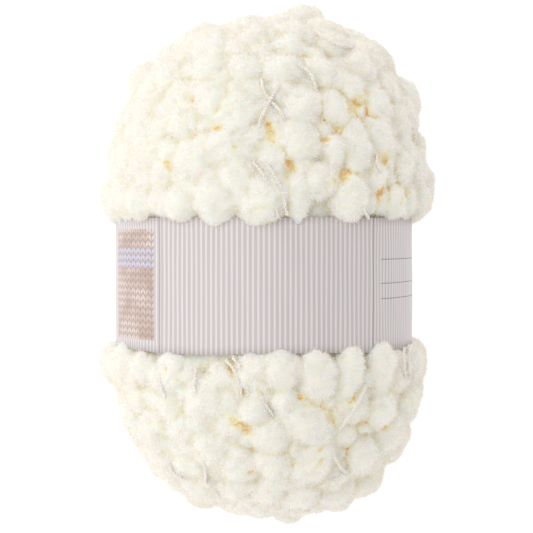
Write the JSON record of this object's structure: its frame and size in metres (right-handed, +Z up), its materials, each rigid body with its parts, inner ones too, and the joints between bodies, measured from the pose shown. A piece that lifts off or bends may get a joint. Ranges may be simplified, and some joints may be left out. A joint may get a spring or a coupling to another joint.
{
  "type": "pompom yarn ball with paper band",
  "caption": "Long ball of thick cream pompom yarn, wound on itself and held round its waist by a striped paper band, lying on its back.",
  "frame": {"origin": "bottom centre of the box, on the surface that the ball lies on", "axes": "+Y along the ball's long axis, towards the end that is up in the picture; +X to the picture's right; +Z up, out of the face that the picture shows"},
  "size_m": [0.1607, 0.2498, 0.1546],
  "materials": {
    "pompom_yarn": "soft napped polyester pile, matt, cream",
    "striped_paper": "smooth uncoated paper, pale mauve-grey with fine lighter stripes"
  },
  "bodies": {
    "root": {"yarn_ball": "pompom_yarn", "paper_band": "striped_paper"}
  },
  "joints": []
}
